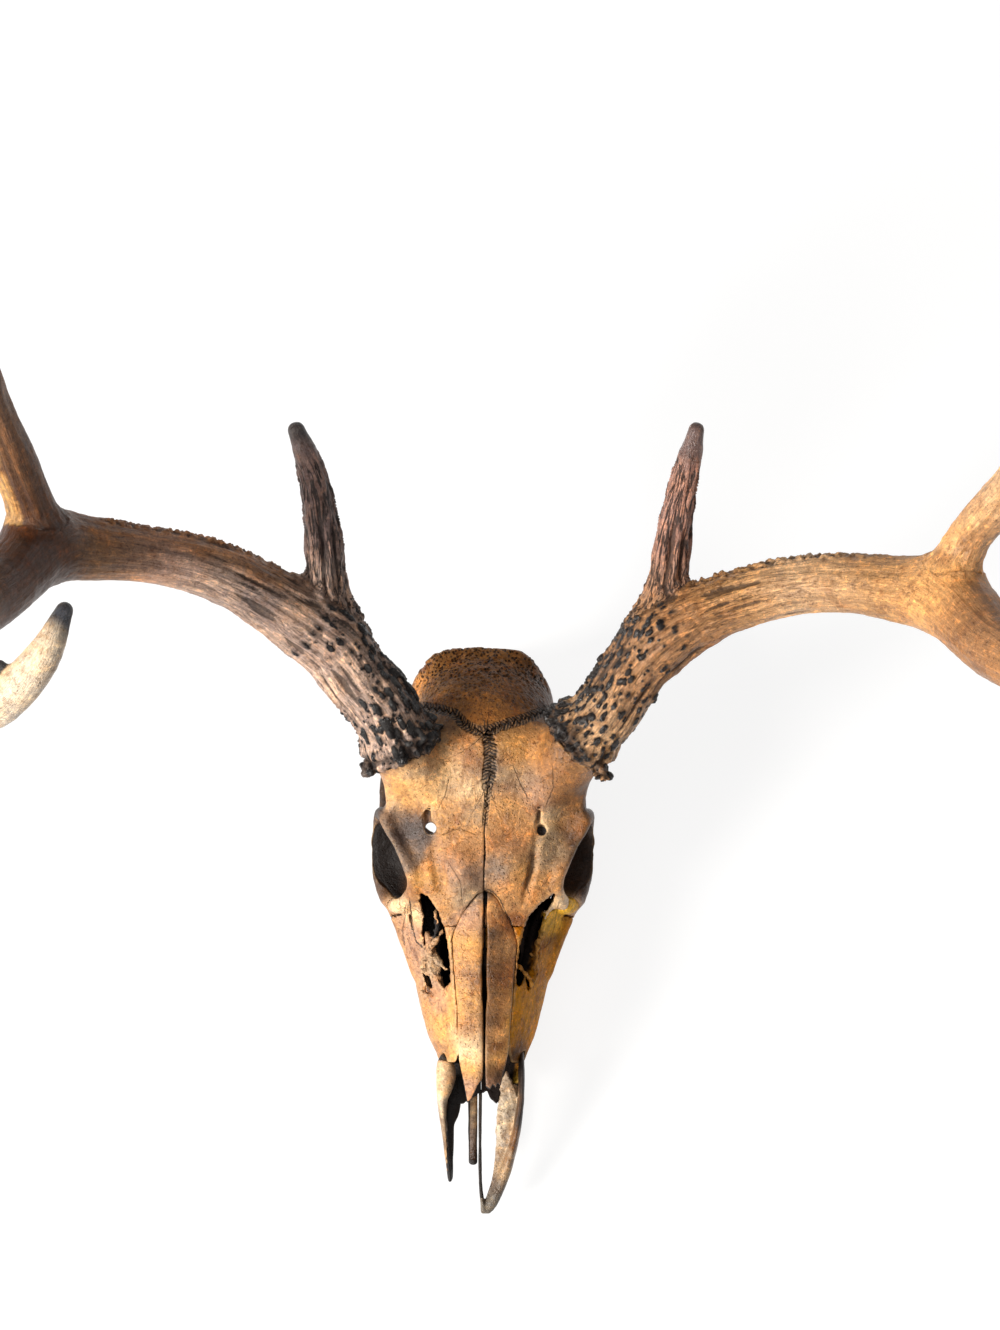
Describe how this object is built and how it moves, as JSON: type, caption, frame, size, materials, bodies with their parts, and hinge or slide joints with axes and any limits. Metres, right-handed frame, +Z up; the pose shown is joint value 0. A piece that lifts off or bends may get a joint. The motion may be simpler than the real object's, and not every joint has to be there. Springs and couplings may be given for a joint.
{
  "type": "white-tailed deer skull with antlers",
  "caption": "Weathered buck skull without its lower jaw, lying on its cheek teeth, with branched antlers sweeping out, forward and up.",
  "frame": {"origin": "middle of the skull's width, on the surface that the cheek teeth rest on, halfway between the tip of the snout and the furthest tine behind", "axes": "+Z up, square to the surface that the teeth rest on; the snout points to -Y; the deer's left side is at +X"},
  "size_m": [0.5196, 0.3711, 0.4536],
  "materials": {
    "bone_amber": "aged bone, satin, stained amber with dark sutures",
    "bone_brown": "aged bone, matt, stained brown",
    "bone_ochre": "aged bone, satin, stained ochre",
    "antler_dark": "antler, satin, brown with dark pearls and grooves",
    "antler_tan": "antler, satin, tan with dark pearls and grooves",
    "tine_pale": "antler tip, polished, cream"
  },
  "bodies": {
    "root": {"braincase": "bone_brown", "sphenoid": "bone_brown", "frontal_left": "bone_amber", "frontal_right": "bone_amber", "maxilla_left": "bone_ochre", "maxilla_right": "bone_amber", "zygomatic_left": "bone_amber", "zygomatic_right": "bone_amber", "nasal_left": "bone_amber", "nasal_right": "bone_amber", "premaxilla_left": "bone_amber", "premaxilla_right": "bone_amber", "palatine_rod_right": "bone_amber", "antler_left_base": "antler_tan", "antler_left_beam": "antler_tan", "antler_left_front_beam": "antler_tan", "antler_left_beam_tip": "tine_pale", "antler_left_brow_tine": "antler_dark", "antler_left_second_tine": "antler_tan", "antler_left_third_tine": "antler_tan", "antler_right_base": "antler_dark", "antler_right_beam": "antler_dark", "antler_right_front_beam": "antler_dark", "antler_right_beam_tip": "tine_pale", "antler_right_brow_tine": "antler_dark", "antler_right_second_tine": "antler_dark", "antler_right_third_tine": "antler_dark", "antler_right_fourth_tine": "antler_dark"}
  },
  "joints": []
}
